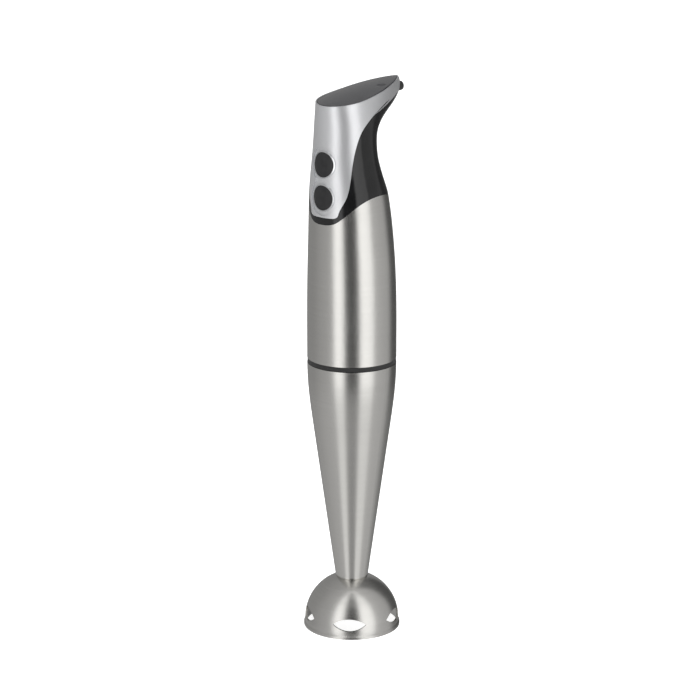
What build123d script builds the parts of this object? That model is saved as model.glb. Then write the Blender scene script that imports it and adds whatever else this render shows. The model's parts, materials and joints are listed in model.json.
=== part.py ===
from build123d import *
import math
import os

os.makedirs("parts", exist_ok=True)

# Immersion blender, standing on the rim of its blade guard.
# Millimetres. Z runs up the drive axis, the origin is that axis on the resting plane.
# -Y is the side of the push buttons, +Y the side of the beak with the mains lead.

# ---------------------------------------------------------------- driving dimensions

# Fits
press_gap = 0.02            # radial gap of pieces pushed home by hand or pressed
running_gap = 0.03          # radial gap of a shaft in its bearing
moving_gap = 0.3            # free space between pieces that move past each other
seam_gap = 0.05             # visible joint line between neighbouring shells

# Blade guard: a bell with a short straight skirt and a rolled rim
bell_radius = 32.2
bell_centre_height = 4.2
bell_wall = 1.2
rim_radius = 33.0
rim_height = 2.0
hub_radius = 8.5
hub_bottom = 20.5
hub_spigot_length = 10.0

# Openings round the bell
slot_count = 5
slot_width = 22.6
slot_height = 8.2
slot_centre_height = 9.7
slot_first_angle = -51.0

# Leg: a straight cone that swells into the round of the motor unit
leg_length = 153.4
leg_foot_radius = 10.9
leg_wall = 1.0
cone_length = 110.4
cone_top_radius = 26.2
leg_top_radius = 30.0
leg_foot_round = 1.6
leg_seat_depth = 9.0

# Drive line in the leg
shaft_radius = 3.0
bush_wall = 2.5
lower_bush_length = 14.0
seal_depth = 7.0
seal_radius = 6.5
upper_bush_length = 13.0
upper_bush_radius = 5.0
bearing_tube_wall = 1.3
circlip_radius = 5.0
circlip_thickness = 1.0

# Blade
blade_tip_radius = 23.0
blade_root_width = 10.0
blade_tip_width = 6.0
blade_thickness = 1.6
blade_height = 10.4
blade_bevel = 0.7
blade_hub_radius = 5.0
nut_flats = 8.0
nut_height = 4.0

# Bayonet between leg and motor unit
ring_height = 3.2
ring_radius = 29.8
ring_gap = 0.1
spigot_radius = 24.5
spigot_wall = 2.5
spigot_height = 11.3
coupling_floor = 3.0
coupling_boss_radius = 9.0
lug_count = 3
lug_width = 7.0
lug_reach = 1.8
lug_height = 3.0
lug_rise = 6.8
twist_angle = 30.0
entry_play = 2.5
socket_height = 14.0
socket_ceiling = 11.0
socket_bore_gap = 0.4

# Dog clutch between the two shafts
clutch_radius = 8.0
clutch_disc = 3.5
clutch_dog_height = 5.5
clutch_dog_angle = 40.0
clutch_dog_root = 3.6
clutch_play = 1.3
clutch_rise = 1.3

# Motor unit
motor_radius = 30.0
sleeve_wall = 1.0
skirt_root = 3.0            # how far the grip's skirt reaches up behind the visible edge
skirt_height = 6.0          # how far the grip's skirt reaches down inside the sleeve
shell_wall = 2.2
damper_height = 1.5
bracket_thickness = 3.0
bearing_radius = 8.0
bearing_length = 4.0
stator_length = 30.0
stator_width = 50.0
stator_depth = 42.0
stator_corner_radius = 27.2
stator_bore = 13.0
air_gap = 0.4
coil_section = 5.0
coil_leg_depth = 8.0
end_turn_height = 5.3
end_turn_offset = 0.4
post_radius = 2.4
bolt_radius = 1.4
post_pitch_radius = 22.5
stator_rise = 18.4          # stator underside above the lower bracket
commutator_radius = 8.0
commutator_length = 8.0
segment_count = 12
segment_slot = 0.5
segment_slot_depth = 1.0
armature_slot_width = 2.2
armature_slot_depth = 4.0
winding_radius = 12.0
winding_length = 6.0
fan_radius = 19.5
fan_height = 7.0
fan_disc = 1.2
fan_hub_radius = 6.0
fan_blade_count = 9
fan_blade_thickness = 1.0
brush_width = 4.0
brush_height = 5.0
brush_length = 9.0
brush_spring_length = 3.2
brush_spring_coils = 3
brush_spring_wire = 0.35
holder_wall = 0.8

# Handle, heights measured up from the bottom of the motor unit
neck_half_width = 21.0
neck_height = 148.0
neck_front = 27.6
neck_rear = 13.4
beak_reach = 47.3
beak_half_width = 18.1
beak_height = 178.0
head_front = 27.1
head_widest = -6.6
head_top = 193.0
level_count = 26            # evenly spaced sections of the handle's surface

# Top cap
cap_height = 176.9          # on the drive axis
cap_tilt = 9.4
cap_rim = 0.9
cap_gap = 0.35
cap_depth = 2.0
cap_cross_crown = 1.5
cap_long_crown = 1.3
cap_proud = 1.5
gasket_height = 0.8
gasket_width = 1.6
gasket_slack = 0.3
ledge_width = 3.6
ledge_thickness = 2.0
dimple_radius = 3.6
dimple_depth = 0.8
dimple_x = 8.5
dimple_y = 20.5

# Push buttons
button_radius = 8.0
button_heights = (112.6, 134.4)
button_travel = 2.0
button_inset = 0.15
button_flange = 0.8
button_flange_thickness = 1.0
button_flange_y = -24.3
button_stem_radius = 1.6
button_stem_length = 5.3
trim_width = 0.9
trim_depth = 1.6
recess_margin = 3.8
recess_depth = 0.8
recess_start = 20.0         # how far in front of the axis the recess cutter begins
recess_waist = 6.6
boot_wall = 0.8

# Switch gear
chassis_front = -16.5
chassis_thickness = 2.0
chassis_bottom = 102.0
chassis_top = 148.0
chassis_opening = 3.0
switch_width = 12.0
switch_height = 8.0
switch_depth = 6.5
plunger_radius = 1.2
plunger_gap = 0.1
board_width = 26.0
board_thickness = 1.6
board_margin = 6.0
capacitor_size = (13.0, 8.0, 17.0)

# Mains lead entry
gland_radius = 3.2
gland_bore = 2.4
gland_height = 177.1
gland_end = 48.6
gland_length = 16.0
shelf_height = 164.0
shelf_thickness = 2.0
shelf_front = -14.0
shelf_rear = 26.0
clamp_y = 14.0
clamp_width = 18.0
clamp_depth = 6.0
clamp_height = 5.0
clamp_screw_radius = 1.3
clamp_screw_pitch = 12.0
clamp_screw_head = 2.4

# ---------------------------------------------------------------- derived places

ROUND = 0.5523              # Bezier fullness of a quarter of a circle

leg_foot = 34.3
leg_top = leg_foot + leg_length
cone_top = leg_foot + cone_length
seat_bottom = leg_top - leg_seat_depth
seat_radius = leg_top_radius - leg_wall - 0.3

ring_bottom = leg_top + ring_gap
ring_top = ring_bottom + ring_height
motor_bottom = ring_top + ring_gap
spigot_top = leg_top + spigot_height

hub_top = leg_foot + hub_spigot_length
lower_bush_radius = shaft_radius + bush_wall
lower_bush_bottom = hub_bottom + seal_depth
coupling_boss_bottom = seat_bottom - 6.5
coupling_boss_top = leg_top - 0.7
upper_bush_bottom = coupling_boss_bottom + 0.8
upper_bush_top = upper_bush_bottom + upper_bush_length

driven_disc_bottom = leg_top + clutch_rise
driven_disc_top = driven_disc_bottom + clutch_disc
drive_disc_bottom = driven_disc_top + clutch_dog_height + clutch_play
drive_disc_top = drive_disc_bottom + clutch_disc
blade_top = blade_height + blade_thickness
shaft_bottom = blade_height - 3.0

damper_bottom = motor_bottom + socket_height
bracket_bottom = damper_bottom + damper_height
bracket_top = bracket_bottom + bracket_thickness
stator_bottom = bracket_top + stator_rise
stator_top = stator_bottom + stator_length
armature_radius = stator_bore - air_gap
commutator_bottom = stator_top + winding_length + 1.5
commutator_top = commutator_bottom + commutator_length
brush_centre = (commutator_bottom + commutator_top) / 2
upper_bracket_bottom = commutator_top + 2.5
upper_bracket_top = upper_bracket_bottom + bracket_thickness
motor_shaft_top = upper_bracket_bottom + bearing_length + 2.0

cap_plane = Plane(
    origin=(0, 0, motor_bottom + cap_height),
    x_dir=(1, 0, 0),
    z_dir=(0, -math.sin(math.radians(cap_tilt)), math.cos(math.radians(cap_tilt))),
)
gland_z = motor_bottom + gland_height
trim_radius = button_radius + 0.25 + trim_width
finger_hole_radius = button_radius + 0.25
chassis_back = chassis_front + chassis_thickness
side_plane = Plane.YZ.offset(-2 * motor_radius)


# ---------------------------------------------------------------- shared shapes

def save(piece, name):
    """Names a finished piece and writes it to its own file."""
    piece.label = name
    export_step(piece, f"parts/{name}.step")


def tube(name, inner, outer, bottom, top):
    """A plain sleeve on the drive axis."""
    with BuildPart() as piece:
        with BuildSketch(Plane.XY.offset(bottom)):
            Circle(outer)
            Circle(inner, mode=Mode.SUBTRACT)
        extrude(amount=top - bottom)
    save(piece.part, name)


def sector(inner, outer, middle, width):
    """A ring sector about the origin, angles in degrees."""
    start = middle - width / 2
    with BuildSketch() as shape:
        with BuildLine():
            far = CenterArc((0, 0), outer, start, width)
            near = CenterArc((0, 0), inner, start, width)
            Line(near @ 0, far @ 0)
            Line(near @ 1, far @ 1)
        make_face()
    return shape.sketch


def housing_level(height, widest, half_width, front, rear, side, tip, inset):
    """A level section of the handle: round in front, drawn out towards the beak behind."""
    half = half_width - inset
    nose = -front + inset
    tail = rear - inset
    with BuildSketch(Plane.XY.offset(motor_bottom + height)) as level:
        with BuildLine():
            Bezier((0, nose), (ROUND * half, nose),
                   (half, widest - ROUND * (widest - nose)), (half, widest))
            Bezier((half, widest), (half, widest + side * (tail - widest)),
                   (tip * half, tail), (0, tail))
            mirror(about=Plane.YZ)
        make_face()
    return level.sketch


# Key levels of the motor unit and handle, from the bottom up:
# height, widest Y, half width, front, rear, side fullness, tip fullness
key_levels = (
    (-6.0, 0.0, motor_radius, motor_radius, motor_radius, ROUND, ROUND),
    (23.0, 0.0, motor_radius, motor_radius, motor_radius, ROUND, ROUND),
    (43.0, 0.0, motor_radius - 0.2, motor_radius - 0.05, motor_radius - 0.3, ROUND, ROUND),
    (63.0, 0.0, motor_radius - 0.7, motor_radius - 0.25, motor_radius - 1.4, ROUND, ROUND),
    (81.0, -0.8, motor_radius - 1.7, motor_radius - 0.5, motor_radius - 2.6, ROUND, ROUND),
    (97.0, -1.8, motor_radius - 2.6, motor_radius - 0.7, motor_radius - 4.6, ROUND, ROUND),
    (113.0, -3.2, motor_radius - 3.8, motor_radius - 0.9, motor_radius - 7.8, ROUND, ROUND),
    (neck_height - 21.0, -5.0, neck_half_width + 2.8, neck_front + 1.2, neck_rear + 3.4, ROUND, ROUND),
    (neck_height - 10.0, -5.6, neck_half_width + 1.1, neck_front + 0.6, neck_rear + 0.2, ROUND, ROUND),
    (neck_height, -6.0, neck_half_width, neck_front, neck_rear, ROUND, ROUND),
    (neck_height + 10.0, -6.2, neck_half_width - 0.7, neck_front - 0.5, neck_rear + 7.0, 0.52, 0.45),
    (beak_height - 12.0, -6.4, beak_half_width + 1.2, head_front - 0.1, beak_reach - 11.8, 0.50, 0.30),
    (beak_height - 6.0, -6.5, beak_half_width + 0.4, head_front, beak_reach - 3.3, 0.50, 0.20),
    (beak_height, head_widest, beak_half_width, head_front, beak_reach, 0.50, 0.16),
    (beak_height + 7.0, head_widest, beak_half_width - 0.2, head_front, beak_reach - 2.7, 0.50, 0.16),
    (head_top, head_widest, beak_half_width - 0.5, head_front, beak_reach - 8.5, 0.50, 0.16),
)


def between_levels(height):
    """The level at any height, on curves through the key levels that never overshoot them."""
    heights = [level[0] for level in key_levels]
    steps = [high - low for low, high in zip(heights, heights[1:])]
    span = max(i for i in range(len(steps)) if heights[i] <= height + 1e-6)
    share = (height - heights[span]) / steps[span]
    found = [height]
    for column in range(1, len(key_levels[0])):
        values = [level[column] for level in key_levels]
        rises = [(high - low) / step for low, high, step in zip(values, values[1:], steps)]
        slopes = [rises[0]]
        for before, after, near, far in zip(rises, rises[1:], steps, steps[1:]):
            same_way = before * after > 0
            weights = (2 * far + near, far + 2 * near)
            slopes.append(sum(weights) / (weights[0] / before + weights[1] / after) if same_way else 0.0)
        slopes.append(rises[-1])
        found.append(
            (2 * share**3 - 3 * share**2 + 1) * values[span]
            + (share**3 - 2 * share**2 + share) * steps[span] * slopes[span]
            + (-2 * share**3 + 3 * share**2) * values[span + 1]
            + (share**3 - share**2) * steps[span] * slopes[span + 1])
    return found


def housing(inset):
    """The solid inside the outer surface of the motor unit, moved in by the inset."""
    low = key_levels[0][0]
    rise = (key_levels[-1][0] - low) / (level_count - 1)
    with BuildPart() as solid:
        loft(sections=[housing_level(*between_levels(low + i * rise), inset) for i in range(level_count)])
    return solid.part


def side_view(*corners):
    """Side-view corners as Y and height above the bottom of the motor unit."""
    return [(y, motor_bottom + height) for y, height in corners]


def slab(shape):
    """A side-view face carried right across the blender."""
    with BuildPart() as piece:
        add(shape)
        extrude(amount=4 * motor_radius, dir=(1, 0, 0))
    return piece.part


def sleeve_edge(drop):
    """Side-view region of the steel sleeve: under a hump that dips at the buttons."""
    with BuildSketch(side_plane) as shape:
        with BuildLine():
            hump = Spline(*side_view((-29.2, 94.8 - drop), (-26.3, 98.2 - drop), (-22.0, 104.0 - drop),
                                     (-15.7, 109.7 - drop), (-4.0, 113.3 - drop), (12.0, 111.9 - drop),
                                     (40.0, 104.5 - drop)), tangents=((1, 0.6), (3, -1)))
            Polyline(hump @ 0, *side_view((-60.0, 94.8 - drop), (-60.0, -10.0), (40.0, -10.0)), hump @ 1)
        make_face()
    return shape.sketch


def front_region(grow):
    """Side-view region of the silver front shell, from its tongue under the buttons to the beak.

    It grows by moving its lower rear outline down and back.
    """
    low = 99.6 - grow
    with BuildSketch(side_plane) as shape:
        with BuildLine():
            outline = ((-28.9, 99.6), (-26.4, 103.2), (-23.9, 111.9), (-20.0, 131.0),
                       (-15.6, 148.6), (-6.5, 161.4), (21.8, 172.0), (62.0, 180.4))
            moved = [(y + grow, height - grow) for y, height in outline]
            sweep_line = Spline(*side_view(*moved), tangents=((1, 0), (4, 1)))
            Polyline(sweep_line @ 0, *side_view((-60.0, low), (-60.0, 230.0), (62.0 + grow, 230.0)), sweep_line @ 1)
        make_face()
    return shape.sketch


def over_cap_plane(depth):
    """Everything above the cap's plane, lowered by the depth."""
    with BuildPart() as block:
        with BuildSketch(cap_plane.offset(-depth)):
            Rectangle(200, 240)
        extrude(amount=60)
    return block.part


def gland_passage(radius):
    """The round way of the mains lead through the tip of the beak."""
    with BuildPart() as way:
        with BuildSketch(Plane.XZ.offset(-(gland_end + 20.0))):
            with Locations((0, gland_z)):
                Circle(radius)
        extrude(amount=gland_length + 24.0)
    return way.part


def button_prism(radius, near=-60.0, far=-20.0, heights=button_heights):
    """Round bars through the front shell, one for each button."""
    with BuildPart() as bars:
        with BuildSketch(Plane.XZ.offset(-far)):
            with Locations(*[(0, motor_bottom + height) for height in heights]):
                Circle(radius)
        extrude(amount=far - near)
    return bars.part


outer_solid = housing(0)
sleeve_space = housing(sleeve_wall)
skirt_solid = housing(sleeve_wall + press_gap)
shell_space = housing(shell_wall)
recess_floor = housing(recess_depth)
rim_space = housing(cap_rim)

# ---------------------------------------------------------------- leg

# Pressed bell with its hub: bush seat above, seal pocket below
with BuildPart() as bell_guard:
    with BuildSketch(Plane.XZ):
        with BuildLine():
            inner_radius = bell_radius - bell_wall
            inner_meet = bell_centre_height + math.sqrt(inner_radius**2 - hub_radius**2)
            outer_meet = bell_centre_height + math.sqrt(bell_radius**2 - hub_radius**2)
            diagonal = math.sqrt(0.5)
            outside = ThreePointArc(
                (bell_radius, bell_centre_height),
                (bell_radius * diagonal, bell_centre_height + bell_radius * diagonal),
                (hub_radius, outer_meet))
            inside = ThreePointArc(
                (inner_radius, bell_centre_height),
                (inner_radius * diagonal, bell_centre_height + inner_radius * diagonal),
                (hub_radius, inner_meet))
            Polyline(outside @ 1, (hub_radius, hub_top), (lower_bush_radius, hub_top),
                     (lower_bush_radius, lower_bush_bottom), (seal_radius, lower_bush_bottom),
                     (seal_radius, hub_bottom), (hub_radius, hub_bottom), inside @ 1)
            Polyline(outside @ 0, (bell_radius, rim_height + 0.7), (rim_radius, rim_height - 0.4),
                     (rim_radius, 0), (inner_radius + 0.4, 0), (inner_radius, 1.0), inside @ 0)
        make_face()
    revolve(axis=Axis.Z)
    for index in range(slot_count):
        angle = math.radians(slot_first_angle + index * 360 / slot_count)
        outward = (math.cos(angle), math.sin(angle), 0)
        along = (-math.sin(angle), math.cos(angle), 0)
        with BuildSketch(Plane(origin=(0, 0, slot_centre_height), x_dir=along, z_dir=outward)):
            with BuildLine():
                half_slot = slot_width / 2
                ThreePointArc((-half_slot, 0), (0, slot_height / 2), (half_slot, 0))
                ThreePointArc((-half_slot, 0), (0, -slot_height / 2), (half_slot, 0))
            make_face()
        extrude(amount=rim_radius + 5.0, mode=Mode.SUBTRACT)
save(bell_guard.part, "bell_guard")

# Deep-drawn leg: one shell from the collar on the bell to the wide mouth of the coupling
collar_top = leg_foot + hub_spigot_length
collar_share = (collar_top - leg_foot) / cone_length
collar_inner = leg_foot_radius + collar_share * (cone_top_radius - leg_foot_radius) - leg_wall
with BuildPart() as leg_shell:
    with BuildSketch(Plane.XZ):
        with BuildLine():
            cone = Line((leg_foot_radius, leg_foot), (cone_top_radius, cone_top))
            swell = Spline(cone @ 1, (leg_top_radius, leg_top), tangents=(cone % 1, (0, 1)))
            Line(swell @ 1, (seat_radius, leg_top))
            Line((seat_radius, leg_top), (seat_radius, seat_bottom))
            hollow_cone = Line((collar_inner, collar_top), (cone_top_radius - leg_wall, cone_top))
            Spline(hollow_cone @ 1, (seat_radius, seat_bottom), tangents=(hollow_cone % 1, (0, 1)))
            Polyline(hollow_cone @ 0, (hub_radius + press_gap, collar_top),
                     (hub_radius + press_gap, leg_foot), (leg_foot_radius, leg_foot))
        make_face()
    revolve(axis=Axis.Z)
    foot_edges = leg_shell.edges().filter_by(GeomType.CIRCLE).group_by(Axis.Z)[0]
    fillet(foot_edges.sort_by(SortBy.RADIUS)[-1], radius=leg_foot_round)
    with Locations((0, 0, bell_centre_height)):
        Sphere(bell_radius + press_gap, mode=Mode.SUBTRACT)
save(leg_shell.part, "leg_shell")

# Moulded coupling head that plugs the leg's mouth and carries the bayonet lugs
plug_radius = seat_radius - press_gap
with BuildPart() as leg_coupling:
    with BuildSketch(Plane.XZ):
        with BuildLine():
            Polyline(
                (plug_radius, seat_bottom), (plug_radius, leg_top), (spigot_radius, leg_top),
                (spigot_radius, spigot_top), (spigot_radius - spigot_wall, spigot_top),
                (spigot_radius - spigot_wall, seat_bottom + coupling_floor),
                (coupling_boss_radius, seat_bottom + coupling_floor), (coupling_boss_radius, coupling_boss_top),
                (upper_bush_radius, coupling_boss_top), (upper_bush_radius, upper_bush_bottom),
                (shaft_radius + 1.0, upper_bush_bottom), (shaft_radius + 1.0, coupling_boss_bottom),
                (coupling_boss_radius, coupling_boss_bottom), (coupling_boss_radius, seat_bottom), close=True)
        make_face()
    revolve(axis=Axis.Z)
    with BuildSketch(Plane.XY.offset(leg_top + lug_rise)):
        with PolarLocations(spigot_radius - 0.2 + lug_reach / 2, lug_count, start_angle=90):
            Rectangle(lug_reach + 0.4, lug_width)
    extrude(amount=lug_height)
save(leg_coupling.part, "leg_coupling")

tube("bearing_tube", upper_bush_radius + 0.2, upper_bush_radius + 0.2 + bearing_tube_wall, hub_top, coupling_boss_bottom)
tube("lower_bush", shaft_radius + running_gap, lower_bush_radius, lower_bush_bottom, lower_bush_bottom + lower_bush_length)
tube("upper_bush", shaft_radius + running_gap, upper_bush_radius, upper_bush_bottom, upper_bush_top)

# Lip seal under the lower bush, with a groove between its two lips
with BuildPart() as lip_seal:
    with BuildSketch(Plane.XZ):
        with BuildLine():
            lip = shaft_radius + running_gap + 0.02
            seal_top = lower_bush_bottom
            Polyline((lip, hub_bottom + 0.4), (seal_radius, hub_bottom + 0.4), (seal_radius, seal_top),
                     (lip + 0.8, seal_top), (lip, seal_top - 1.2), (lip + 0.9, seal_top - 3.2), close=True)
        make_face()
    revolve(axis=Axis.Z)
save(lip_seal.part, "lip_seal")

# Black ring in the joint between leg and motor unit
with BuildPart() as seal_ring:
    with BuildSketch(Plane.XY.offset(ring_bottom)):
        Circle(ring_radius)
        Circle(spigot_radius + moving_gap, mode=Mode.SUBTRACT)
    extrude(amount=ring_height)
    fillet(seal_ring.edges().filter_by(GeomType.CIRCLE).group_by(SortBy.RADIUS)[-1], radius=0.3)
save(seal_ring.part, "seal_ring")

# ---------------------------------------------------------------- blade and its shaft

with BuildPart() as drive_shaft:
    with BuildSketch(Plane.XY.offset(shaft_bottom)):
        Circle(shaft_radius)
    extrude(amount=driven_disc_top - shaft_bottom)
    chamfer(drive_shaft.faces().sort_by(Axis.Z)[0].edges(), length=0.4)
save(drive_shaft.part, "drive_shaft")

# Two curved wings, ground sharp along their leading edges
with BuildPart() as blade:
    with BuildSketch(Plane.XY.offset(blade_height)):
        Circle(blade_hub_radius + 1.5)
        for turn in (0, 180):
            with Locations(Location((0, 0, 0), (0, 0, turn))):
                with BuildLine(mode=Mode.PRIVATE) as wing:
                    lead = ThreePointArc((0, blade_root_width / 2),
                                         (blade_tip_radius * 0.55, blade_root_width / 2 - 0.4),
                                         (blade_tip_radius, -blade_tip_width / 2))
                    tail_point = (blade_tip_radius - 4.0, -blade_tip_width / 2 - 3.4)
                    tail = ThreePointArc(tail_point, (blade_tip_radius * 0.5, -blade_root_width / 2 - 0.4),
                                         (0, -blade_root_width / 2))
                    Line(lead @ 1, tail @ 0)
                    Line(tail @ 1, lead @ 0)
                add(make_face(wing.edges(), mode=Mode.PRIVATE))
        Circle(shaft_radius, mode=Mode.SUBTRACT)
    extrude(amount=blade_thickness)
    cutting = [edge for edge in blade.faces().sort_by(Axis.Z)[-1].edges() if edge.length > blade_tip_radius * 0.8]
    chamfer(cutting, length=blade_bevel * 2, length2=blade_bevel)
save(blade.part, "blade")

with BuildPart() as blade_hub:
    with BuildSketch(Plane.XY.offset(blade_top)):
        Circle(blade_hub_radius)
        Circle(shaft_radius, mode=Mode.SUBTRACT)
    extrude(amount=hub_bottom - 0.5 - blade_top)
    chamfer(blade_hub.faces().sort_by(Axis.Z)[-1].edges().sort_by(SortBy.RADIUS)[-1], length=1.0)
save(blade_hub.part, "blade_hub")

with BuildPart() as blade_nut:
    with BuildSketch(Plane.XY.offset(blade_height - nut_height)):
        RegularPolygon(radius=nut_flats / 2, side_count=6, major_radius=False)
    extrude(amount=nut_height)
    with BuildSketch(Plane.XY.offset(shaft_bottom)):
        Circle(shaft_radius)
    extrude(amount=nut_height, mode=Mode.SUBTRACT)
    chamfer(blade_nut.faces().sort_by(Axis.Z)[0].edges(), length=0.6)
save(blade_nut.part, "blade_nut")

tube("shaft_circlip", shaft_radius, circlip_radius, coupling_boss_top + 0.2, coupling_boss_top + 0.2 + circlip_thickness)


def clutch_half(name, disc_bottom, dogs_bottom, first_angle):
    """A disc on the shaft end with two dogs that reach towards the other half."""
    with BuildPart() as half:
        with BuildSketch(Plane.XY.offset(disc_bottom)):
            Circle(clutch_radius)
            Circle(shaft_radius, mode=Mode.SUBTRACT)
        extrude(amount=clutch_disc)
        with BuildSketch(Plane.XY.offset(dogs_bottom)):
            for turn in (first_angle, first_angle + 180):
                add(sector(clutch_dog_root, clutch_radius, turn, clutch_dog_angle))
        extrude(amount=clutch_dog_height)
    save(half.part, name)


clutch_half("driven_coupler", driven_disc_bottom, driven_disc_top, 0)
clutch_half("drive_coupler", drive_disc_bottom, drive_disc_bottom - clutch_dog_height, 90)

# ---------------------------------------------------------------- bottom of the motor unit

# Bayonet socket: the lugs enter between three ledges and turn under them
socket_bore = spigot_radius + socket_bore_gap
groove_radius = math.hypot(spigot_radius + lug_reach, lug_width / 2) + moving_gap
groove_bottom = leg_top + lug_rise - moving_gap * 2
groove_top = leg_top + lug_rise + lug_height + moving_gap * 2
lug_half_angle = math.degrees(math.atan2(lug_width / 2, spigot_radius))
with BuildPart() as bayonet_socket:
    with BuildSketch(Plane.XZ):
        with BuildLine():
            Polyline(
                (socket_bore, motor_bottom), (motor_radius - sleeve_wall - press_gap, motor_bottom),
                (motor_radius - sleeve_wall - press_gap, damper_bottom), (clutch_radius + 2.5, damper_bottom),
                (clutch_radius + 2.5, motor_bottom + socket_ceiling), (socket_bore, motor_bottom + socket_ceiling),
                (socket_bore, groove_top), (groove_radius, groove_top), (groove_radius, groove_bottom),
                (socket_bore, groove_bottom), close=True)
        make_face()
    revolve(axis=Axis.Z)
    with BuildSketch(Plane.XY.offset(motor_bottom)):
        for index in range(lug_count):
            entry = twist_angle + 2 * (lug_half_angle + entry_play)
            add(sector(socket_bore - 1.0, groove_radius, 90 - twist_angle / 2 + index * 360 / lug_count, entry))
    extrude(amount=groove_top - motor_bottom, mode=Mode.SUBTRACT)
save(bayonet_socket.part, "bayonet_socket")

# Steel sleeve, cut off along the hump under the grip
with BuildPart() as motor_sleeve:
    add(outer_solid)
    add(sleeve_space, mode=Mode.SUBTRACT)
    add(slab(sleeve_edge(0)), mode=Mode.INTERSECT)
    split(bisect_by=Plane.XY.offset(motor_bottom), keep=Keep.TOP)
save(motor_sleeve.part, "motor_sleeve")

tube("damper_ring", bearing_radius + 10.0, motor_radius - sleeve_wall - 1.0, damper_bottom, bracket_bottom)


def post_places(height):
    """The two places of the long motor bolts at a height."""
    return [(side * post_pitch_radius, 0, height) for side in (-1, 1)]


# Lower bracket: bearing seat, air holes and two posts that lift the stator
with BuildPart() as lower_bracket:
    with BuildSketch(Plane.XY.offset(bracket_bottom)):
        Circle(motor_radius - sleeve_wall - 0.6)
        Circle(bearing_radius, mode=Mode.SUBTRACT)
        with PolarLocations(15.0, 6, start_angle=30):
            Circle(3.6, mode=Mode.SUBTRACT)
    extrude(amount=bracket_thickness)
    with BuildSketch(Plane.XY.offset(bracket_top)):
        Circle(bearing_radius + 2.0)
        Circle(bearing_radius, mode=Mode.SUBTRACT)
    extrude(amount=bearing_length - bracket_thickness)
    with BuildSketch(Plane.XY.offset(bracket_bottom)):
        with Locations(*post_places(0)):
            Circle(post_radius)
    extrude(amount=stator_bottom - bracket_bottom)
    with BuildSketch(Plane.XY.offset(bracket_bottom)):
        with Locations(*post_places(0)):
            Circle(bolt_radius)
    extrude(amount=stator_bottom - bracket_bottom, mode=Mode.SUBTRACT)
save(lower_bracket.part, "lower_bracket")

with BuildPart() as upper_bracket:
    with BuildSketch(Plane.XY.offset(upper_bracket_bottom)):
        Circle(motor_radius - sleeve_wall - 3.6)
        Circle(bearing_radius, mode=Mode.SUBTRACT)
        with PolarLocations(16.5, 4, start_angle=45):
            Circle(4.0, mode=Mode.SUBTRACT)
    extrude(amount=bracket_thickness)
    with BuildSketch(Plane.XY.offset(upper_bracket_top)):
        Circle(bearing_radius + 2.0)
        Circle(bearing_radius, mode=Mode.SUBTRACT)
    extrude(amount=bearing_length - bracket_thickness)
    with BuildSketch(Plane.XY.offset(stator_top)):
        with Locations(*post_places(0)):
            Circle(post_radius)
    extrude(amount=upper_bracket_bottom - stator_top)
    with BuildSketch(Plane.XY.offset(stator_top)):
        with Locations(*post_places(0)):
            Circle(bolt_radius)
    extrude(amount=upper_bracket_top - stator_top, mode=Mode.SUBTRACT)
save(upper_bracket.part, "upper_bracket")

tube("lower_bearing", shaft_radius + running_gap, bearing_radius, bracket_bottom, bracket_bottom + bearing_length)
tube("upper_bearing", shaft_radius + running_gap, bearing_radius, upper_bracket_bottom, upper_bracket_bottom + bearing_length)

# Stator stack with a window on each side of its two poles
window_x = stator_bore + 1.2 + coil_section / 2
window_y = coil_leg_depth / 2 + 5.8
with BuildPart() as stator_core:
    with BuildSketch(Plane.XY.offset(stator_bottom)):
        Rectangle(stator_width, stator_depth)
        Circle(stator_corner_radius, mode=Mode.INTERSECT)
        Circle(stator_bore, mode=Mode.SUBTRACT)
        with GridLocations(2 * window_x, 2 * window_y, 2, 2):
            Rectangle(coil_section + 0.4, coil_leg_depth + 0.4, mode=Mode.SUBTRACT)
        with Locations(*post_places(0)):
            Circle(bolt_radius, mode=Mode.SUBTRACT)
    extrude(amount=stator_length)
save(stator_core.part, "stator_core")

for coil_name, coil_side in (("field_coil_front", -1), ("field_coil_rear", 1)):
    bar_y = armature_radius + end_turn_offset + 0.4
    with BuildPart() as coil:
        with BuildSketch(Plane.XY.offset(stator_bottom - end_turn_height)):
            with Locations((-window_x, coil_side * window_y), (window_x, coil_side * window_y)):
                Rectangle(coil_section, coil_leg_depth)
        extrude(amount=stator_length + 2 * end_turn_height)
        for end_bottom in (stator_bottom - end_turn_height, stator_top + 0.1):
            with BuildSketch(Plane.XY.offset(end_bottom)):
                with Locations((0, coil_side * (bar_y + coil_section / 2))):
                    Rectangle(2 * window_x + coil_section, coil_section)
            extrude(amount=end_turn_height - 0.1)
    save(coil.part, coil_name)

with BuildPart() as motor_bolts:
    with BuildSketch(Plane.XY.offset(bracket_bottom)):
        with Locations(*post_places(0)):
            Circle(bolt_radius)
    extrude(amount=upper_bracket_top - bracket_bottom)
    with BuildSketch(Plane.XY.offset(upper_bracket_top)):
        with Locations(*post_places(0)):
            RegularPolygon(radius=post_radius, side_count=6, major_radius=False)
    extrude(amount=2.0)
save(motor_bolts.part, "motor_bolts")

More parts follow.
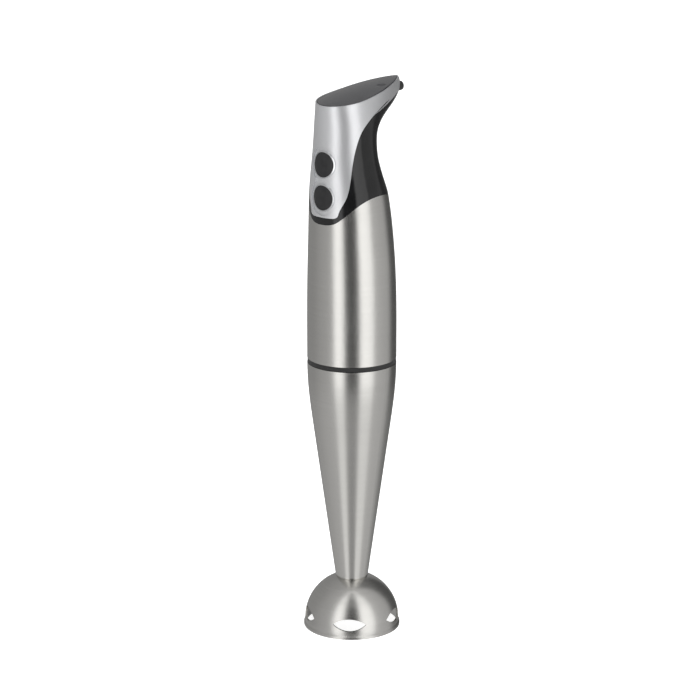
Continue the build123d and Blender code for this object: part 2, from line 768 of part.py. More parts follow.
# Brush gear: a brass box, a carbon brush and its spring on each side of the commutator
brush_start = commutator_radius + 0.05
holder_start = brush_start + 1.6
holder_end = holder_start + brush_length + brush_spring_length
for side_name, side in (("front", -1), ("rear", 1)):
    outward_plane = Plane(origin=(0, 0, brush_centre), x_dir=(-side, 0, 0), z_dir=(0, side, 0))
    with BuildPart() as holder:
        with BuildSketch(outward_plane.offset(holder_start)):
            Rectangle(brush_width + 2 * holder_wall + 0.1, brush_height + 2 * holder_wall + 0.1)
            Rectangle(brush_width + 0.1, brush_height + 0.1, mode=Mode.SUBTRACT)
        extrude(amount=holder_end - holder_start)
        with BuildSketch(outward_plane.offset(holder_end)):
            Rectangle(brush_width + 2 * holder_wall + 0.1, brush_height + 2 * holder_wall + 0.1)
        extrude(amount=holder_wall)
        with BuildSketch(Plane.XY.offset(brush_centre + brush_height / 2 + holder_wall)):
            with Locations((0, side * (holder_start + 4.0))):
                Rectangle(brush_width, 6.0)
        extrude(amount=upper_bracket_bottom - brush_centre - brush_height / 2 - holder_wall)
    save(holder.part, f"brush_holder_{side_name}")
    with BuildPart() as brush:
        with BuildSketch(outward_plane.offset(brush_start)):
            Rectangle(brush_width, brush_height)
        extrude(amount=brush_length)
    save(brush.part, f"brush_{side_name}")
    with BuildPart() as brush_spring:
        pitch = (holder_end - brush_start - brush_length) / brush_spring_coils
        for turn in range(brush_spring_coils):
            ring_place = brush_start + brush_length + (turn + 0.5) * pitch
            with Locations(outward_plane.offset(ring_place)):
                Torus(brush_width / 2 - brush_spring_wire - 0.1, brush_spring_wire)
        with BuildSketch(outward_plane.offset(brush_start + brush_length)):
            with Locations((brush_width / 2 - brush_spring_wire - 0.1, 0)):
                Circle(brush_spring_wire * 0.9)
        extrude(amount=holder_end - brush_start - brush_length)
    save(brush_spring.part, f"brush_spring_{side_name}")

# ---------------------------------------------------------------- armature

with BuildPart() as motor_shaft:
    with BuildSketch(Plane.XY.offset(drive_disc_bottom)):
        Circle(shaft_radius)
    extrude(amount=motor_shaft_top - drive_disc_bottom)
    chamfer(motor_shaft.faces().sort_by(Axis.Z)[-1].edges(), length=0.5)
save(motor_shaft.part, "motor_shaft")

with BuildPart() as armature_core:
    with BuildSketch(Plane.XY.offset(stator_bottom)):
        Circle(armature_radius)
        Circle(shaft_radius, mode=Mode.SUBTRACT)
        with PolarLocations(armature_radius - armature_slot_depth / 2, segment_count):
            Rectangle(armature_slot_depth + 0.5, armature_slot_width, mode=Mode.SUBTRACT)
    extrude(amount=stator_length)
save(armature_core.part, "armature_core")

for winding_name, winding_bottom in (
    ("winding_lower", stator_bottom - winding_length),
    ("winding_upper", stator_top),
):
    with BuildPart() as winding:
        with BuildSketch(Plane.XY.offset(winding_bottom)):
            Circle(winding_radius)
            Circle(shaft_radius, mode=Mode.SUBTRACT)
        extrude(amount=winding_length)
        rounded = winding.edges().filter_by(GeomType.CIRCLE).group_by(SortBy.RADIUS)[-1]
        fillet(rounded, radius=winding_length * 0.4)
    save(winding.part, winding_name)

with BuildPart() as commutator:
    with BuildSketch(Plane.XY.offset(commutator_bottom)):
        Circle(commutator_radius)
        Circle(shaft_radius, mode=Mode.SUBTRACT)
        with PolarLocations(commutator_radius - segment_slot_depth / 2, segment_count):
            Rectangle(segment_slot_depth + 0.3, segment_slot, mode=Mode.SUBTRACT)
    extrude(amount=commutator_length)
save(commutator.part, "commutator")

fan_bottom = bracket_bottom + bearing_length + 2.0
with BuildPart() as cooling_fan:
    with BuildSketch(Plane.XY.offset(fan_bottom)):
        Circle(fan_radius)
        Circle(shaft_radius, mode=Mode.SUBTRACT)
    extrude(amount=fan_disc)
    with BuildSketch(Plane.XY.offset(fan_bottom)):
        Circle(fan_hub_radius)
        Circle(shaft_radius, mode=Mode.SUBTRACT)
        with PolarLocations((fan_hub_radius + fan_radius) / 2 - 0.3, fan_blade_count):
            Rectangle(fan_radius - fan_hub_radius, fan_blade_thickness)
    extrude(amount=fan_height)
save(cooling_fan.part, "cooling_fan")

# ---------------------------------------------------------------- handle shells

# The two shells as solid blocks, parted along the seam
with BuildPart() as front_block:
    add(outer_solid)
    add(slab(front_region(0)), mode=Mode.INTERSECT)
    add(over_cap_plane(0), mode=Mode.SUBTRACT)
with BuildPart() as rear_block:
    add(outer_solid)
    add(slab(front_region(seam_gap)), mode=Mode.SUBTRACT)
    add(slab(sleeve_edge(-seam_gap)), mode=Mode.SUBTRACT)
    add(over_cap_plane(0), mode=Mode.SUBTRACT)

# Solids that shape the shells: the cavity under the cap's ledge, the cap's seat, the recess round
# the buttons and the grip's skirt
with BuildPart() as cavity:
    add(shell_space)
    add(over_cap_plane(cap_depth + gasket_height + ledge_thickness), mode=Mode.SUBTRACT)
with BuildPart() as cap_seat:
    add(rim_space)
    add(over_cap_plane(cap_depth + gasket_height), mode=Mode.INTERSECT)
lower_z = motor_bottom + button_heights[0]
upper_z = motor_bottom + button_heights[1]
with BuildPart() as recess:
    with BuildSketch(Plane.XZ.offset(recess_start)):
        with Locations((0, lower_z), (0, upper_z)):
            Circle(button_radius + recess_margin)
        with Locations((0, (lower_z + upper_z) / 2)):
            Rectangle(2 * recess_waist, button_radius)
    extrude(amount=recess_start)
    add(recess_floor, mode=Mode.SUBTRACT)
with BuildPart() as skirt_block:
    add(skirt_solid)
    add(slab(sleeve_edge(-skirt_root)), mode=Mode.INTERSECT)
    add(slab(sleeve_edge(skirt_height)), mode=Mode.SUBTRACT)

# Silver front shell: tongue round the buttons, rim and ledge for the cap
with BuildPart() as front_shell:
    add(front_block.part)
    add(cavity.part, mode=Mode.SUBTRACT)
    add(housing(cap_rim + ledge_width), mode=Mode.SUBTRACT)
    add(cap_seat.part, mode=Mode.SUBTRACT)
    add(recess.part, mode=Mode.SUBTRACT)
    add(button_prism(trim_radius + press_gap), mode=Mode.SUBTRACT)
    add(gland_passage(gland_radius + press_gap), mode=Mode.SUBTRACT)
save(front_shell.part, "front_shell")

# Black grip: back of the handle, the band under the tongue and a skirt inside the sleeve
with BuildPart() as rear_grip:
    add(rear_block.part)
    add(skirt_block.part)
    add(shell_space, mode=Mode.SUBTRACT)
    add(gland_passage(gland_radius + press_gap), mode=Mode.SUBTRACT)
save(rear_grip.part, "rear_grip")

# Gasket on the ledge, dark in the joint line round the cap
gasket_plane = cap_plane.offset(-cap_depth - gasket_height)
gasket_sheet = Face.make_rect(200, 240, gasket_plane)
gasket_rings = []
for inset in (gasket_slack, gasket_width):
    section_edge = (gasket_sheet & housing(cap_rim + inset)).faces()[0].outer_wire()
    ring_points = [section_edge @ (step / 36) for step in range(36)]
    gasket_rings.append(Face(Wire([Edge.make_spline(ring_points, periodic=True)])))
with BuildPart() as cap_gasket:
    extrude(gasket_rings[0], amount=gasket_height, dir=gasket_plane.z_dir)
    extrude(gasket_rings[1], amount=gasket_height, dir=gasket_plane.z_dir, mode=Mode.SUBTRACT)
save(cap_gasket.part, "cap_gasket")

# Cap: crowned along and across, with a round dimple near the beak
crown_y = (beak_reach - head_front) / 2
half_length = (beak_reach + head_front) / 2
crown_top = cap_plane.from_local_coords((0, crown_y, cap_proud))
long_radius = half_length**2 / (2 * cap_long_crown)
crown_plane = Plane(origin=crown_top, x_dir=(1, 0, 0), z_dir=-cap_plane.y_dir)
half_chord = beak_half_width + 6.0
cross_drop = cap_cross_crown * (half_chord / beak_half_width) ** 2
with BuildPart() as crown:
    with BuildSketch(crown_plane):
        with BuildLine():
            across = ThreePointArc((-half_chord, -cross_drop), (0, 0), (half_chord, -cross_drop))
            Polyline(across @ 0, (-half_chord, -12.0), (half_chord, -12.0), across @ 1)
        make_face()
    axis_point = crown_plane.from_local_coords((0, -long_radius, 0))
    revolve(axis=Axis(origin=axis_point, direction=(1, 0, 0)), revolution_arc=360)
with BuildPart() as top_cap:
    add(housing(cap_rim + cap_gap))
    add(over_cap_plane(cap_depth), mode=Mode.INTERSECT)
    add(crown.part, mode=Mode.INTERSECT)
    dimple_sphere = (dimple_radius**2 + dimple_depth**2) / (2 * dimple_depth)
    across_drop = cap_cross_crown * (dimple_x / beak_half_width) ** 2
    cap_surface = cap_proud - across_drop - (dimple_y - crown_y) ** 2 / (2 * long_radius)
    centre = cap_plane.from_local_coords((dimple_x, dimple_y, cap_surface + dimple_sphere - dimple_depth))
    with Locations(centre):
        Sphere(dimple_sphere, mode=Mode.SUBTRACT)
save(top_cap.part, "top_cap")

# ---------------------------------------------------------------- buttons

for place, height in zip(("lower", "upper"), button_heights):
    button_z = motor_bottom + height
    with BuildPart() as trim:
        add(outer_solid)
        add(housing(trim_depth), mode=Mode.SUBTRACT)
        add(button_prism(trim_radius, heights=(height,)), mode=Mode.INTERSECT)
        add(button_prism(finger_hole_radius, heights=(height,)), mode=Mode.SUBTRACT)
    save(trim.part, f"button_trim_{place}")
    with BuildPart() as button:
        add(housing(button_inset))
        add(button_prism(button_radius, far=button_flange_y, heights=(height,)), mode=Mode.INTERSECT)
        with BuildSketch(Plane.XZ.offset(-button_flange_y)):
            with Locations((0, button_z)):
                Circle(button_radius + button_flange)
        extrude(amount=-button_flange_thickness)
        with BuildSketch(Plane.XZ.offset(-button_flange_y - button_flange_thickness)):
            with Locations((0, button_z)):
                Circle(button_stem_radius)
        extrude(amount=-button_stem_length)
    save(button.part, f"button_{place}")
    # Silicone boot that pushes the button back and keeps splashes out
    boot_start = -(button_flange_y + button_flange_thickness + 0.02)
    boot_end = -chassis_front
    with BuildPart() as boot:
        with BuildSketch(Plane.YZ):
            with BuildLine():
                Polyline((-boot_start, button_z + 4.0), (-boot_start, button_z + 4.0 + boot_wall),
                         (-boot_end - 1.0, button_z + 7.0 + boot_wall), (-boot_end, button_z + 7.0 + boot_wall),
                         (-boot_end, button_z + 7.0 - boot_wall), (-boot_end - 1.4, button_z + 7.0), close=True)
            make_face()
        revolve(axis=Axis(origin=(0, 0, button_z), direction=(0, 1, 0)))
    save(boot.part, f"button_boot_{place}")
    # Microswitch behind the chassis, its plunger facing the stem
    with BuildPart() as switch:
        with BuildSketch(Plane.XZ.offset(-chassis_back)):
            with Locations((0, button_z)):
                Rectangle(switch_width, switch_height)
        extrude(amount=-switch_depth)
        stem_stop = button_flange_y + button_flange_thickness + button_stem_length + button_travel
        with BuildSketch(Plane.XZ.offset(-chassis_back)):
            with Locations((0, button_z)):
                Circle(plunger_radius)
        extrude(amount=chassis_back - stem_stop - plunger_gap)
    save(switch.part, f"switch_{place}")

# ---------------------------------------------------------------- inside the handle

# Cross wall that carries the switches and fits the shells all round
with BuildPart() as switch_chassis:
    with BuildSketch(Plane.XZ.offset(-chassis_front)):
        with Locations((0, motor_bottom + (chassis_bottom + chassis_top) / 2)):
            Rectangle(80, chassis_top - chassis_bottom)
        with Locations(*[(0, motor_bottom + height) for height in button_heights]):
            Circle(chassis_opening, mode=Mode.SUBTRACT)
    extrude(amount=-chassis_thickness)
    add(housing(shell_wall + press_gap), mode=Mode.INTERSECT)
save(switch_chassis.part, "switch_chassis")

board_front = chassis_back + switch_depth
board_bottom = motor_bottom + button_heights[0] - board_margin
board_top = motor_bottom + button_heights[1] + board_margin
with BuildPart() as circuit_board:
    with BuildSketch(Plane.XZ.offset(-board_front)):
        with Locations((0, (board_bottom + board_top) / 2)):
            Rectangle(board_width, board_top - board_bottom)
    extrude(amount=-board_thickness)
save(circuit_board.part, "circuit_board")

with BuildPart() as capacitor:
    with BuildSketch(Plane.XZ.offset(-board_front - board_thickness)):
        with Locations((0, (board_bottom + board_top) / 2)):
            Rectangle(capacitor_size[0], capacitor_size[2])
    extrude(amount=-capacitor_size[1])
    fillet(capacitor.edges().filter_by(Axis.Y), radius=1.0)
save(capacitor.part, "capacitor")

# Shelf across the throat of the beak, with the lead's clamp on it
shelf_bottom = motor_bottom + shelf_height
shelf_top = shelf_bottom + shelf_thickness
with BuildPart() as cord_shelf:
    with BuildSketch(Plane.XY.offset(shelf_bottom)):
        with Locations((0, (shelf_front + shelf_rear) / 2)):
            Rectangle(80, shelf_rear - shelf_front)
    extrude(amount=shelf_thickness)
    add(housing(shell_wall + press_gap), mode=Mode.INTERSECT)
    with BuildSketch(Plane.XY.offset(shelf_bottom)):
        with Locations((0, clamp_y - 12.0)):
            Circle(4.0)
    extrude(amount=shelf_thickness, mode=Mode.SUBTRACT)
save(cord_shelf.part, "cord_shelf")

with BuildPart() as cord_clamp:
    with BuildSketch(Plane.XZ.offset(-clamp_y + clamp_depth / 2)):
        with Locations((0, shelf_top + clamp_height / 2)):
            Rectangle(clamp_width, clamp_height)
        with Locations((0, shelf_top)):
            Circle(gland_bore, mode=Mode.SUBTRACT)
    extrude(amount=-clamp_depth)
    with BuildSketch(Plane.XY.offset(shelf_top)):
        with Locations((-clamp_screw_pitch / 2, clamp_y), (clamp_screw_pitch / 2, clamp_y)):
            Circle(clamp_screw_radius)
    extrude(amount=clamp_height, mode=Mode.SUBTRACT)
save(cord_clamp.part, "cord_clamp")

screw_places = [(side * clamp_screw_pitch / 2, clamp_y) for side in (-1, 1)]
with BuildPart() as clamp_screws:
    with BuildSketch(Plane.XY.offset(shelf_top)):
        with Locations(*screw_places):
            Circle(clamp_screw_radius)
    extrude(amount=clamp_height)
    with BuildSketch(Plane.XY.offset(shelf_top + clamp_height)):
        with Locations(*screw_places):
            Circle(clamp_screw_head)
    extrude(amount=1.2)
save(clamp_screws.part, "clamp_screws")

# Grommet in the tip of the beak where the mains lead leaves
with BuildPart() as cord_gland:
    with BuildSketch(Plane.XZ.offset(-gland_end)):
        with Locations((0, gland_z)):
            Circle(gland_radius)
            Circle(gland_bore, mode=Mode.SUBTRACT)
    extrude(amount=gland_length)
    fillet(cord_gland.faces().sort_by(Axis.Y)[-1].edges().sort_by(SortBy.RADIUS)[-1], radius=0.6)
save(cord_gland.part, "cord_gland")
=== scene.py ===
import json
import math

import bpy
from mathutils import Matrix, Vector


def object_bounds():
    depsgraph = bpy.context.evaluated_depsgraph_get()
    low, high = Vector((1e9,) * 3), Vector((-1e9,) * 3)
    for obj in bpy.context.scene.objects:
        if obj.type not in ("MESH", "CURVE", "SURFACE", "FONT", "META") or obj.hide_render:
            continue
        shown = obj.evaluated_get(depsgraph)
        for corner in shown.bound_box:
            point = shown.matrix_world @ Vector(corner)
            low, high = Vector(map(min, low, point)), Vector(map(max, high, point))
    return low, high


# Immersion blender on a pale studio floor. Metres, Z up the drive axis.

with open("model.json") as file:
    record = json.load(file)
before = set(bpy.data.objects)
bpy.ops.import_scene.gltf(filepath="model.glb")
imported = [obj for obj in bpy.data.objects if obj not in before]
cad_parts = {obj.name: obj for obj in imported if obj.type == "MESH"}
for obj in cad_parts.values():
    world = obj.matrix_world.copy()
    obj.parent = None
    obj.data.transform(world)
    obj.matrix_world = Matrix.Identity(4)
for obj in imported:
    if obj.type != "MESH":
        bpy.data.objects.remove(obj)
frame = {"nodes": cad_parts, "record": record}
nodes = frame["nodes"]
record = frame["record"]
cad_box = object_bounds()
low, high = cad_box
height = high.z - low.z
scene = bpy.context.scene

# ---------------------------------------------------------------- node tools


class Shader:
    """A node material built step by step."""

    def __init__(self, name):
        self.material = bpy.data.materials.new(name)
        self.material.use_nodes = True
        self.tree = self.material.node_tree
        self.tree.nodes.clear()
        self.output = self.new("ShaderNodeOutputMaterial")
        self.coords = self.new("ShaderNodeTexCoord").outputs["Object"]

    def new(self, kind, **settings):
        node = self.tree.nodes.new(kind)
        for key, value in settings.items():
            setattr(node, key, value)
        return node

    def put(self, socket, value):
        """Links an output to a socket, or sets the socket to a value."""
        if isinstance(value, bpy.types.NodeSocket):
            self.tree.links.new(value, socket)
        else:
            socket.default_value = value

    def math(self, operation, first, second=0.0):
        node = self.new("ShaderNodeMath", operation=operation)
        self.put(node.inputs[0], first)
        self.put(node.inputs[1], second)
        return node.outputs[0]

    def stretched(self, across, up):
        """Object coordinates with their own scale across and up the blender."""
        node = self.new("ShaderNodeMapping")
        self.put(node.inputs["Vector"], self.coords)
        node.inputs["Scale"].default_value = (across, across, up)
        return node.outputs["Vector"]

    def noise(self, vector, scale, detail=4.0, rough=0.55):
        node = self.new("ShaderNodeTexNoise")
        self.put(node.inputs["Vector"], vector)
        node.inputs["Scale"].default_value = scale
        node.inputs["Detail"].default_value = detail
        node.inputs["Roughness"].default_value = rough
        return node.outputs["Fac"]

    def spread(self, value, low_end, high_end, from_low=0.3, from_high=0.7):
        """Maps the useful part of a noise to a range."""
        node = self.new("ShaderNodeMapRange")
        self.put(node.inputs["Value"], value)
        node.inputs["From Min"].default_value = from_low
        node.inputs["From Max"].default_value = from_high
        node.inputs["To Min"].default_value = low_end
        node.inputs["To Max"].default_value = high_end
        return node.outputs["Result"]

    def between(self, share, first, second):
        """A colour between two colours."""
        node = self.new("ShaderNodeMix", data_type="RGBA")
        self.put(node.inputs[0], share)
        self.put(node.inputs[6], (*first, 1) if isinstance(first, tuple) else first)
        self.put(node.inputs[7], (*second, 1) if isinstance(second, tuple) else second)
        return node.outputs[2]

    def bump(self, value, distance, strength=1.0, normal=None):
        node = self.new("ShaderNodeBump")
        self.put(node.inputs["Height"], value)
        node.inputs["Distance"].default_value = distance
        node.inputs["Strength"].default_value = strength
        if normal is not None:
            self.put(node.inputs["Normal"], normal)
        return node.outputs["Normal"]

    def finish(self, **sockets):
        shader = self.new("ShaderNodeBsdfPrincipled")
        for key, value in sockets.items():
            name = key.replace("_", " ")
            self.put(shader.inputs[name], (*value, 1) if isinstance(value, tuple) and len(value) == 3 else value)
        self.tree.links.new(shader.outputs["BSDF"], self.output.inputs["Surface"])
        return self.material


# ---------------------------------------------------------------- materials

def brushed_steel():
    """Satin stainless, brushed round the axis: fine level lines, long upright highlights."""
    s = Shader("brushed_steel")
    lines = s.noise(s.stretched(14.0, 5200.0), 1.0, 3.0, 0.6)
    bands = s.noise(s.stretched(9.0, 900.0), 1.0, 3.0, 0.6)
    clouds = s.noise(s.coords, 26.0, 3.0, 0.5)
    tone = s.between(s.spread(bands, 0.0, 1.0), (0.635, 0.625, 0.600), (0.665, 0.655, 0.630))
    tone = s.between(s.spread(lines, 0.0, 0.20), tone, (0.70, 0.69, 0.665))
    rough = s.math("ADD", s.spread(lines, 0.19, 0.23), s.spread(clouds, -0.01, 0.01))
    tangent = s.new("ShaderNodeTangent", direction_type="RADIAL", axis="Z").outputs[0]
    normal = s.bump(lines, 0.000002, 0.2, s.bump(bands, 0.000004, 0.12))
    return s.finish(Base_Color=tone, Metallic=1.0, Roughness=rough, Anisotropic=0.72, Tangent=tangent, Normal=normal)


def bright_steel():
    """Ground bright steel with faint grinding marks."""
    s = Shader("bright_steel")
    marks = s.noise(s.stretched(1900.0, 160.0), 1.0, 3.0)
    tone = s.between(s.spread(marks, 0.0, 1.0), (0.60, 0.60, 0.59), (0.74, 0.74, 0.73))
    return s.finish(Base_Color=tone, Metallic=1.0, Roughness=s.spread(marks, 0.14, 0.26),
                    Normal=s.bump(marks, 0.00002, 0.3))


def lamination_steel():
    """Stacked electrical sheets: thin level lines with a bluish oxide."""
    s = Shader("lamination_steel")
    sheets = s.new("ShaderNodeTexWave", wave_type="BANDS", bands_direction="Z", wave_profile="SAW")
    s.put(sheets.inputs["Vector"], s.coords)
    sheets.inputs["Scale"].default_value = 300.0
    cloud = s.noise(s.coords, 140.0, 4.0)
    tone = s.between(s.spread(cloud, 0.0, 1.0), (0.20, 0.21, 0.24), (0.36, 0.36, 0.38))
    return s.finish(Base_Color=tone, Metallic=1.0, Roughness=s.spread(cloud, 0.38, 0.55),
                    Normal=s.bump(sheets.outputs["Fac"], 0.0001, 0.7))


def cast_aluminium():
    """Die-cast metal with its fine-grained skin."""
    s = Shader("cast_aluminium")
    grain = s.noise(s.coords, 1500.0, 5.0)
    cloud = s.noise(s.coords, 90.0, 3.0)
    tone = s.between(s.spread(cloud, 0.0, 1.0), (0.56, 0.57, 0.58), (0.70, 0.71, 0.72))
    return s.finish(Base_Color=tone, Metallic=1.0, Roughness=s.spread(grain, 0.38, 0.54),
                    Normal=s.bump(grain, 0.00008, 0.6))


def turned_metal(name, dark, light):
    """Copper, brass or bronze with level turning marks."""
    s = Shader(name)
    rings = s.noise(s.stretched(30.0, 3000.0), 1.0, 3.0)
    tone = s.between(s.spread(rings, 0.0, 1.0), dark, light)
    return s.finish(Base_Color=tone, Metallic=1.0, Roughness=s.spread(rings, 0.24, 0.4),
                    Normal=s.bump(rings, 0.00003, 0.5))


def copper_winding():
    """Enamelled wire wound in close turns."""
    s = Shader("copper_winding")
    turns = s.new("ShaderNodeTexWave", wave_type="BANDS", bands_direction="DIAGONAL", wave_profile="SIN")
    s.put(turns.inputs["Vector"], s.coords)
    turns.inputs["Scale"].default_value = 420.0
    turns.inputs["Distortion"].default_value = 1.2
    tone = s.between(turns.outputs["Fac"], (0.16, 0.045, 0.015), (0.62, 0.25, 0.10))
    return s.finish(Base_Color=tone, Metallic=0.85, Roughness=0.3, Coat_Weight=0.6, Coat_Roughness=0.12,
                    Normal=s.bump(turns.outputs["Fac"], 0.0003, 0.8))


def carbon():
    s = Shader("carbon")
    grain = s.noise(s.coords, 2600.0, 5.0)
    tone = s.between(s.spread(grain, 0.0, 1.0), (0.02, 0.02, 0.021), (0.07, 0.07, 0.072))
    return s.finish(Base_Color=tone, Metallic=0.2, Roughness=s.spread(grain, 0.5, 0.7),
                    Normal=s.bump(grain, 0.00006, 0.6))


def silver_paint():
    """Silver paint: fine metal flake under a satin clear coat."""
    s = Shader("silver_paint")
    flake = s.noise(s.coords, 5200.0, 2.0, 0.7)
    cloud = s.noise(s.coords, 38.0, 3.0)
    tone = s.between(s.spread(flake, 0.0, 1.0), (0.68, 0.685, 0.70), (0.82, 0.825, 0.84))
    tone = s.between(s.spread(cloud, 0.0, 0.12), tone, (0.66, 0.66, 0.67))
    peel = s.noise(s.coords, 420.0, 2.0, 0.5)
    normal = s.bump(flake, 0.00002, 0.35, s.bump(peel, 0.00003, 0.12))
    return s.finish(Base_Color=tone, Metallic=0.82, Roughness=s.spread(flake, 0.34, 0.42), Normal=normal,
                    Coat_Weight=0.35, Coat_Roughness=0.16, Coat_IOR=1.5)


def silver_trim():
    """Satin chrome of the thin rims."""
    s = Shader("silver_trim")
    fine = s.noise(s.coords, 2400.0, 3.0)
    tone = s.between(s.spread(fine, 0.0, 1.0), (0.76, 0.77, 0.79), (0.88, 0.885, 0.90))
    return s.finish(Base_Color=tone, Metallic=1.0, Roughness=s.spread(fine, 0.16, 0.26),
                    Normal=s.bump(fine, 0.00001, 0.3))


def gloss_black():
    """Gloss black moulding with the faintest waviness and handling haze."""
    s = Shader("gloss_black")
    wave = s.noise(s.coords, 60.0, 2.0, 0.4)
    haze = s.noise(s.coords, 130.0, 5.0, 0.6)
    tone = s.between(s.spread(haze, 0.0, 1.0), (0.006, 0.006, 0.0063), (0.010, 0.010, 0.0104))
    return s.finish(Base_Color=tone, Roughness=s.spread(haze, 0.07, 0.12), IOR=1.45,
                    Normal=s.bump(wave, 0.00012, 0.10), Coat_Weight=0.15, Coat_Roughness=0.05)


def smoked_cap():
    """Smoked, glossy cap: dark body under a clear skin."""
    s = Shader("smoked_cap")
    haze = s.noise(s.coords, 95.0, 4.0, 0.55)
    fine = s.noise(s.coords, 3000.0, 2.0, 0.6)
    tone = s.between(s.spread(haze, 0.0, 1.0), (0.050, 0.050, 0.055), (0.068, 0.068, 0.074))
    tone = s.between(s.spread(fine, 0.0, 0.25), tone, (0.085, 0.085, 0.092))
    return s.finish(Base_Color=tone, Metallic=0.25, Roughness=s.spread(haze, 0.16, 0.24), IOR=1.5,
                    Coat_Weight=0.8, Coat_Roughness=0.07, Normal=s.bump(haze, 0.00005, 0.08))


def button_black():
    """Satin black with a fine spark-eroded texture."""
    s = Shader("button_black")
    fine = s.noise(s.coords, 2300.0, 3.0, 0.6)
    wear = s.noise(s.coords, 210.0, 4.0, 0.6)
    tone = s.between(s.spread(wear, 0.0, 1.0), (0.010, 0.010, 0.011), (0.018, 0.018, 0.019))
    return s.finish(Base_Color=tone, Roughness=s.spread(wear, 0.34, 0.46), Normal=s.bump(fine, 0.00004, 0.5))


def moulded(name, dark, light, rough, grain_scale=1700.0):
    """Matt moulded plastic with a grained surface."""
    s = Shader(name)
    grain = s.noise(s.coords, grain_scale, 4.0)
    cloud = s.noise(s.coords, 120.0, 3.0)
    tone = s.between(s.spread(cloud, 0.0, 1.0), dark, light)
    return s.finish(Base_Color=tone, Roughness=s.spread(grain, rough - 0.07, rough + 0.07),
                    Normal=s.bump(grain, 0.00005, 0.5))


def rubber(name, dark, light, sheen):
    """Rubber with a dusty matt skin."""
    s = Shader(name)
    grain = s.noise(s.coords, 1300.0, 5.0, 0.65)
    tone = s.between(s.spread(grain, 0.0, 1.0), dark, light)
    return s.finish(Base_Color=tone, Roughness=s.spread(grain, 0.52, 0.70), Sheen_Weight=sheen,
                    Sheen_Roughness=0.4, Normal=s.bump(grain, 0.00005, 0.6))


def board_green():
    """Green solder mask over copper tracks."""
    s = Shader("board_green")
    tracks = s.new("ShaderNodeTexBrick")
    s.put(tracks.inputs["Vector"], s.stretched(1.0, 1.0))
    tracks.inputs["Scale"].default_value = 260.0
    tracks.inputs["Mortar Size"].default_value = 0.02
    tone = s.between(tracks.outputs["Fac"], (0.012, 0.10, 0.035), (0.03, 0.19, 0.07))
    return s.finish(Base_Color=tone, Roughness=0.28, Coat_Weight=0.5, Coat_Roughness=0.1,
                    Normal=s.bump(tracks.outputs["Fac"], 0.00004, 0.8))


def capacitor_yellow():
    s = Shader("capacitor_yellow")
    cloud = s.noise(s.coords, 300.0, 4.0)
    tone = s.between(s.spread(cloud, 0.0, 1.0), (0.60, 0.40, 0.04), (0.75, 0.54, 0.08))
    return s.finish(Base_Color=tone, Roughness=s.spread(cloud, 0.22, 0.34), Coat_Weight=0.4,
                    Normal=s.bump(cloud, 0.00005, 0.3))


finishes = {
    "brushed_steel": brushed_steel(),
    "bright_steel": bright_steel(),
    "lamination_steel": lamination_steel(),
    "cast_aluminium": cast_aluminium(),
    "bronze": turned_metal("bronze", (0.46, 0.31, 0.13), (0.68, 0.50, 0.25)),
    "copper_segments": turned_metal("copper_segments", (0.58, 0.26, 0.12), (0.80, 0.43, 0.24)),
    "copper_winding": copper_winding(),
    "carbon": carbon(),
    "silver_paint": silver_paint(),
    "silver_trim": silver_trim(),
    "gloss_black": gloss_black(),
    "smoked_cap": smoked_cap(),
    "button_black": button_black(),
    "black_plastic": moulded("black_plastic", (0.018, 0.018, 0.019), (0.034, 0.034, 0.035), 0.5),
    "coupler_plastic": moulded("coupler_plastic", (0.66, 0.64, 0.58), (0.80, 0.78, 0.72), 0.42, 900.0),
    "fan_plastic": moulded("fan_plastic", (0.05, 0.05, 0.055), (0.10, 0.10, 0.105), 0.55, 1200.0),
    "black_rubber": rubber("black_rubber", (0.010, 0.010, 0.010), (0.022, 0.022, 0.022), 0.08),
    "boot_silicone": rubber("boot_silicone", (0.48, 0.50, 0.53), (0.60, 0.62, 0.65), 0.2),
    "board_green": board_green(),
    "capacitor_yellow": capacitor_yellow(),
}

for part in record["subparts"]:
    node = nodes[part["node"]]
    node.data.materials.clear()
    node.data.materials.append(finishes[part["material_slot"]])

# ---------------------------------------------------------------- stage

camera_azimuth = math.radians(42.0)
towards_camera = Vector((math.sin(camera_azimuth), -math.cos(camera_azimuth), 0.0))
image_right = Vector((math.cos(camera_azimuth), math.sin(camera_azimuth), 0.0))

floor_mesh = bpy.data.meshes.new("floor")
reach = 30.0
floor_mesh.from_pydata([(-reach, -reach, 0), (reach, -reach, 0), (reach, reach, 0), (-reach, reach, 0)],
                       [], [(0, 1, 2, 3)])
floor = bpy.data.objects.new("floor", floor_mesh)
floor.location = (0, 0, low.z - 0.0002)
scene.collection.objects.link(floor)
paper = Shader("paper")
fleck = paper.noise(paper.coords, 40.0, 3.0)
pale = paper.between(paper.spread(fleck, 0.0, 1.0), (0.90, 0.90, 0.90), (0.93, 0.93, 0.93))
paper.finish(Base_Color=pale, Roughness=0.9, Specular_IOR_Level=0.0,
             Emission_Color=(1.0, 1.0, 1.0), Emission_Strength=0.85)
floor_mesh.materials.append(paper.material)
floor.visible_glossy = False
floor.visible_shadow = False

# Studio: an even grey room with two tall soft boxes either side of the camera and a dark gap between
world = bpy.data.worlds.new("studio")
scene.world = world
world.use_nodes = True
tree = world.node_tree
tree.nodes.clear()
links = tree.links


def world_node(kind, **settings):
    node = tree.nodes.new(kind)
    for key, value in settings.items():
        setattr(node, key, value)
    return node


def ramp(value, stops, interpolation="EASE"):
    node = world_node("ShaderNodeValToRGB")
    node.color_ramp.interpolation = interpolation
    points = node.color_ramp.elements
    while len(points) < len(stops):
        points.new(0.5)
    for point, (place, level) in zip(points, stops):
        point.position = place
        point.color = (*level, 1)
    links.new(value, node.inputs[0])
    return node.outputs[0]


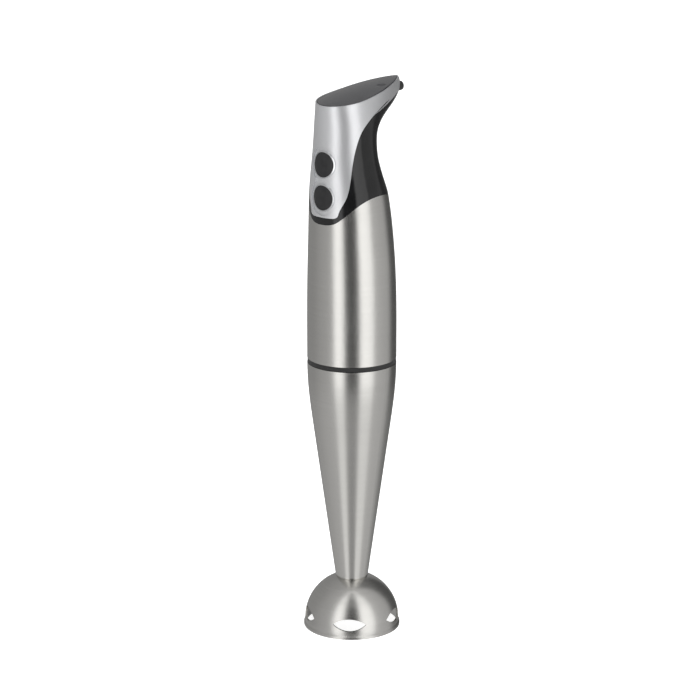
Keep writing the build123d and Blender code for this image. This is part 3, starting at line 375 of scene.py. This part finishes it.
direction = world_node("ShaderNodeTexCoord").outputs["Generated"]
turn = world_node("ShaderNodeVectorRotate", rotation_type="Z_AXIS")
links.new(direction, turn.inputs["Vector"])
turn.inputs["Angle"].default_value = math.pi / 2 - camera_azimuth
axes = world_node("ShaderNodeSeparateXYZ")
links.new(turn.outputs[0], axes.inputs[0])
# After the turn the camera lies on +X and the image's right on +Y
around = world_node("ShaderNodeMath", operation="ARCTAN2")
links.new(axes.outputs["Y"], around.inputs[0])
links.new(axes.outputs["X"], around.inputs[1])
share = world_node("ShaderNodeMapRange")
links.new(around.outputs[0], share.inputs["Value"])
share.inputs["From Min"].default_value = -math.pi
share.inputs["From Max"].default_value = math.pi


def grey(level, warmth=0.0):
    return (level * (1 + warmth), level, level * (1 - warmth))


def at(degrees):
    return 0.5 + degrees / 360.0


sides = ramp(share.outputs[0], [
    (at(-180), grey(0.28)), (at(-120), grey(0.32)), (at(-75), grey(0.42)), (at(-50), grey(0.48)),
    (at(-42), grey(1.50)), (at(-24), grey(1.50)), (at(-14), grey(0.03)), (at(16), grey(0.03)),
    (at(24), grey(1.50)), (at(54), grey(1.30)), (at(62), grey(0.55)), (at(105), grey(0.48)),
    (at(124), grey(0.10)), (at(152), grey(0.08)), (at(165), grey(0.30))])
tilt = world_node("ShaderNodeMapRange")
links.new(axes.outputs["Z"], tilt.inputs["Value"])
tilt.inputs["From Min"].default_value = -1.0
tilt.inputs["From Max"].default_value = 1.0
contrast = ramp(tilt.outputs[0], [
    (0.0, grey(0.2)), (0.24, grey(0.45)), (0.36, grey(1.0)), (0.74, grey(1.0)), (0.92, grey(0.80)), (1.0, grey(0.50))])
plain = ramp(tilt.outputs[0], [
    (0.0, grey(0.45)), (0.24, grey(0.55)), (0.5, grey(0.55)), (0.75, grey(0.58)), (1.0, grey(0.58))])
mixed = world_node("ShaderNodeMix", data_type="RGBA")
links.new(contrast, mixed.inputs[0])
links.new(plain, mixed.inputs[6])
links.new(sides, mixed.inputs[7])
light = world_node("ShaderNodeBackground")
light.inputs["Strength"].default_value = 1.0
links.new(mixed.outputs[2], light.inputs["Color"])
sky = world_node("ShaderNodeOutputWorld")
links.new(light.outputs[0], sky.inputs["Surface"])


def soft_box(name, place, target, width, tall, power):
    lamp = bpy.data.lights.new(name, "AREA")
    lamp.shape = "RECTANGLE"
    lamp.size = width
    lamp.size_y = tall
    lamp.energy = power
    holder = bpy.data.objects.new(name, lamp)
    holder.location = place
    holder.rotation_mode = "QUATERNION"
    holder.rotation_quaternion = (Vector(target) - Vector(place)).to_track_quat("-Z", "Y")
    scene.collection.objects.link(holder)
    return holder


middle = Vector((0, 0, low.z + height * 0.55))
top_light = soft_box("top_light", middle + Vector((0, 0, 1.4)) - towards_camera * 0.5 + image_right * 0.2,
                     middle, 1.2, 1.2, 9.0)
top_light.visible_glossy = False

# ---------------------------------------------------------------- camera

lens = bpy.data.cameras.new("camera")
lens.sensor_width = 36.0
lens.lens = 124.6
lens.clip_start = 0.05
lens.clip_end = 100.0
camera = bpy.data.objects.new("camera", lens)
scene.collection.objects.link(camera)
distance = 1.5666
camera.location = (towards_camera * distance - image_right * 0.00122
                   + Vector((0, 0, low.z + 0.6273)))
pitch = math.radians(15.42)
gaze = -towards_camera * math.cos(pitch) - Vector((0, 0, math.sin(pitch)))
camera.rotation_mode = "QUATERNION"
camera.rotation_quaternion = gaze.to_track_quat("-Z", "Y")
scene.camera = camera
scene.view_settings.view_transform = "Standard"
